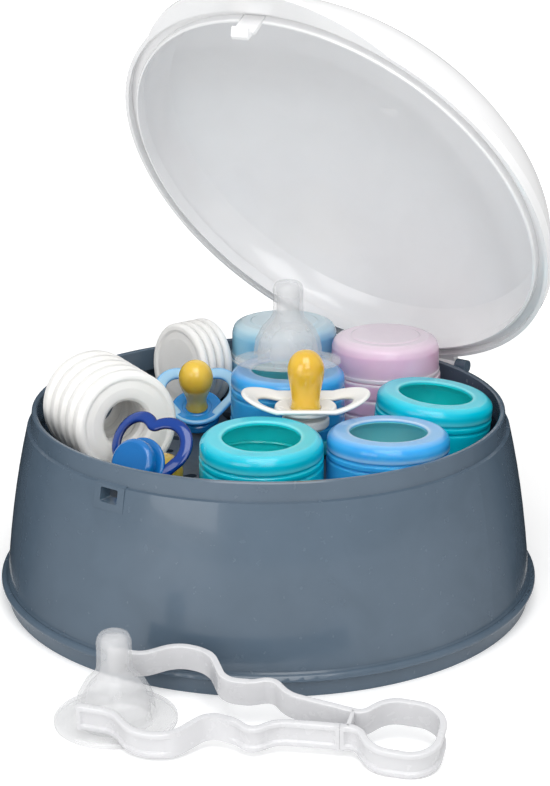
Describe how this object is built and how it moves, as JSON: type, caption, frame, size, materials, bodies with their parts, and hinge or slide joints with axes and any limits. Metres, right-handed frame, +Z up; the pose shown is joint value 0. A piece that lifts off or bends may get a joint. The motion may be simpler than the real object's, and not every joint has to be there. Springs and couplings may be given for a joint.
{
  "type": "pacifier sterilizer case",
  "caption": "Round tub with a hinged dome lid and front latch, holding a slotted rack of bottle rings, caps, discs, teats and pacifiers, with tongs beside it.",
  "frame": {"origin": "centre of the tub's foot, on the surface it stands on", "axes": "+Z up, +Y towards the hinge, -Y towards the latch, X along the hinge axis"},
  "size_m": [0.2973, 0.3126, 0.287],
  "materials": {
    "slate_plastic": "semi-gloss dark slate polypropylene",
    "white_plastic": "glossy white polypropylene",
    "teal_plastic": "glossy turquoise polypropylene",
    "blue_plastic": "glossy mid blue polypropylene",
    "navy_plastic": "glossy navy polypropylene",
    "cobalt_plastic": "glossy cobalt polypropylene",
    "sky_plastic": "translucent sky blue polypropylene",
    "pink_plastic": "translucent pale pink polypropylene",
    "clear_silicone": "clear silicone, soft gloss",
    "amber_rubber": "amber natural rubber",
    "cream_plastic": "satin off-white polypropylene"
  },
  "bodies": {
    "base": {"tub": "slate_plastic", "hinge_pin_left": "slate_plastic", "hinge_pin_right": "slate_plastic"},
    "lid": {"lid": "white_plastic"},
    "latch": {"latch_tongue": "white_plastic"},
    "rack": {"rack": "slate_plastic", "ring_teal_front": "teal_plastic", "ring_teal_right": "teal_plastic", "ring_blue_right": "blue_plastic", "ring_blue_middle": "blue_plastic", "ring_pink": "pink_plastic", "ring_sky": "sky_plastic", "cap_pink": "pink_plastic", "cap_sky": "sky_plastic", "flat_lid_teal": "teal_plastic", "teat_on_ring": "clear_silicone", "disc_front_1": "cream_plastic", "disc_front_2": "cream_plastic", "disc_front_3": "cream_plastic", "disc_front_4": "cream_plastic", "disc_front_5": "cream_plastic", "disc_back_1": "cream_plastic", "disc_back_2": "cream_plastic", "disc_back_3": "cream_plastic", "disc_back_4": "cream_plastic", "pacifier_sky_shield": "sky_plastic", "pacifier_sky_knob": "blue_plastic", "pacifier_sky_bulb": "amber_rubber", "pacifier_navy_shield": "navy_plastic", "pacifier_navy_knob": "cobalt_plastic", "pacifier_navy_bulb": "amber_rubber", "pacifier_white_shield": "white_plastic", "pacifier_white_knob": "white_plastic", "pacifier_white_bulb": "amber_rubber"},
    "tongs": {"tongs_rear_half": "white_plastic", "teat_in_tongs": "clear_silicone"},
    "tongs_arm": {"tongs_front_arm": "white_plastic"}
  },
  "joints": [
    {"name": "lid_hinge", "type": "hinge", "parent": "base", "child": "lid", "pos_m": [0, 0.1158, 0.0886], "axis": [-1, 0, 0], "range_deg": [-55, 40]},
    {"name": "latch_flex", "type": "hinge", "parent": "lid", "child": "latch", "pos_m": [0, -0.00967, 0.27371], "axis": [1, 0, 0], "range_deg": [0, 7], "stiffness_Nm_per_rad": 0.05},
    {"name": "rack_lift", "type": "slide", "parent": "base", "child": "rack", "axis": [0, 0, 1], "range_m": [0, 0.06]},
    {"name": "tongs_lift", "type": "slide", "parent": "base", "child": "tongs", "axis": [0, 0, 1], "range_m": [0, 0.1]},
    {"name": "tongs_spring", "type": "hinge", "parent": "tongs", "child": "tongs_arm", "pos_m": [0.12901, -0.12789, 0.00334], "axis": [0.1094, -0.1805, 0.9775], "range_deg": [0, 4], "stiffness_Nm_per_rad": 0.5}
  ]
}
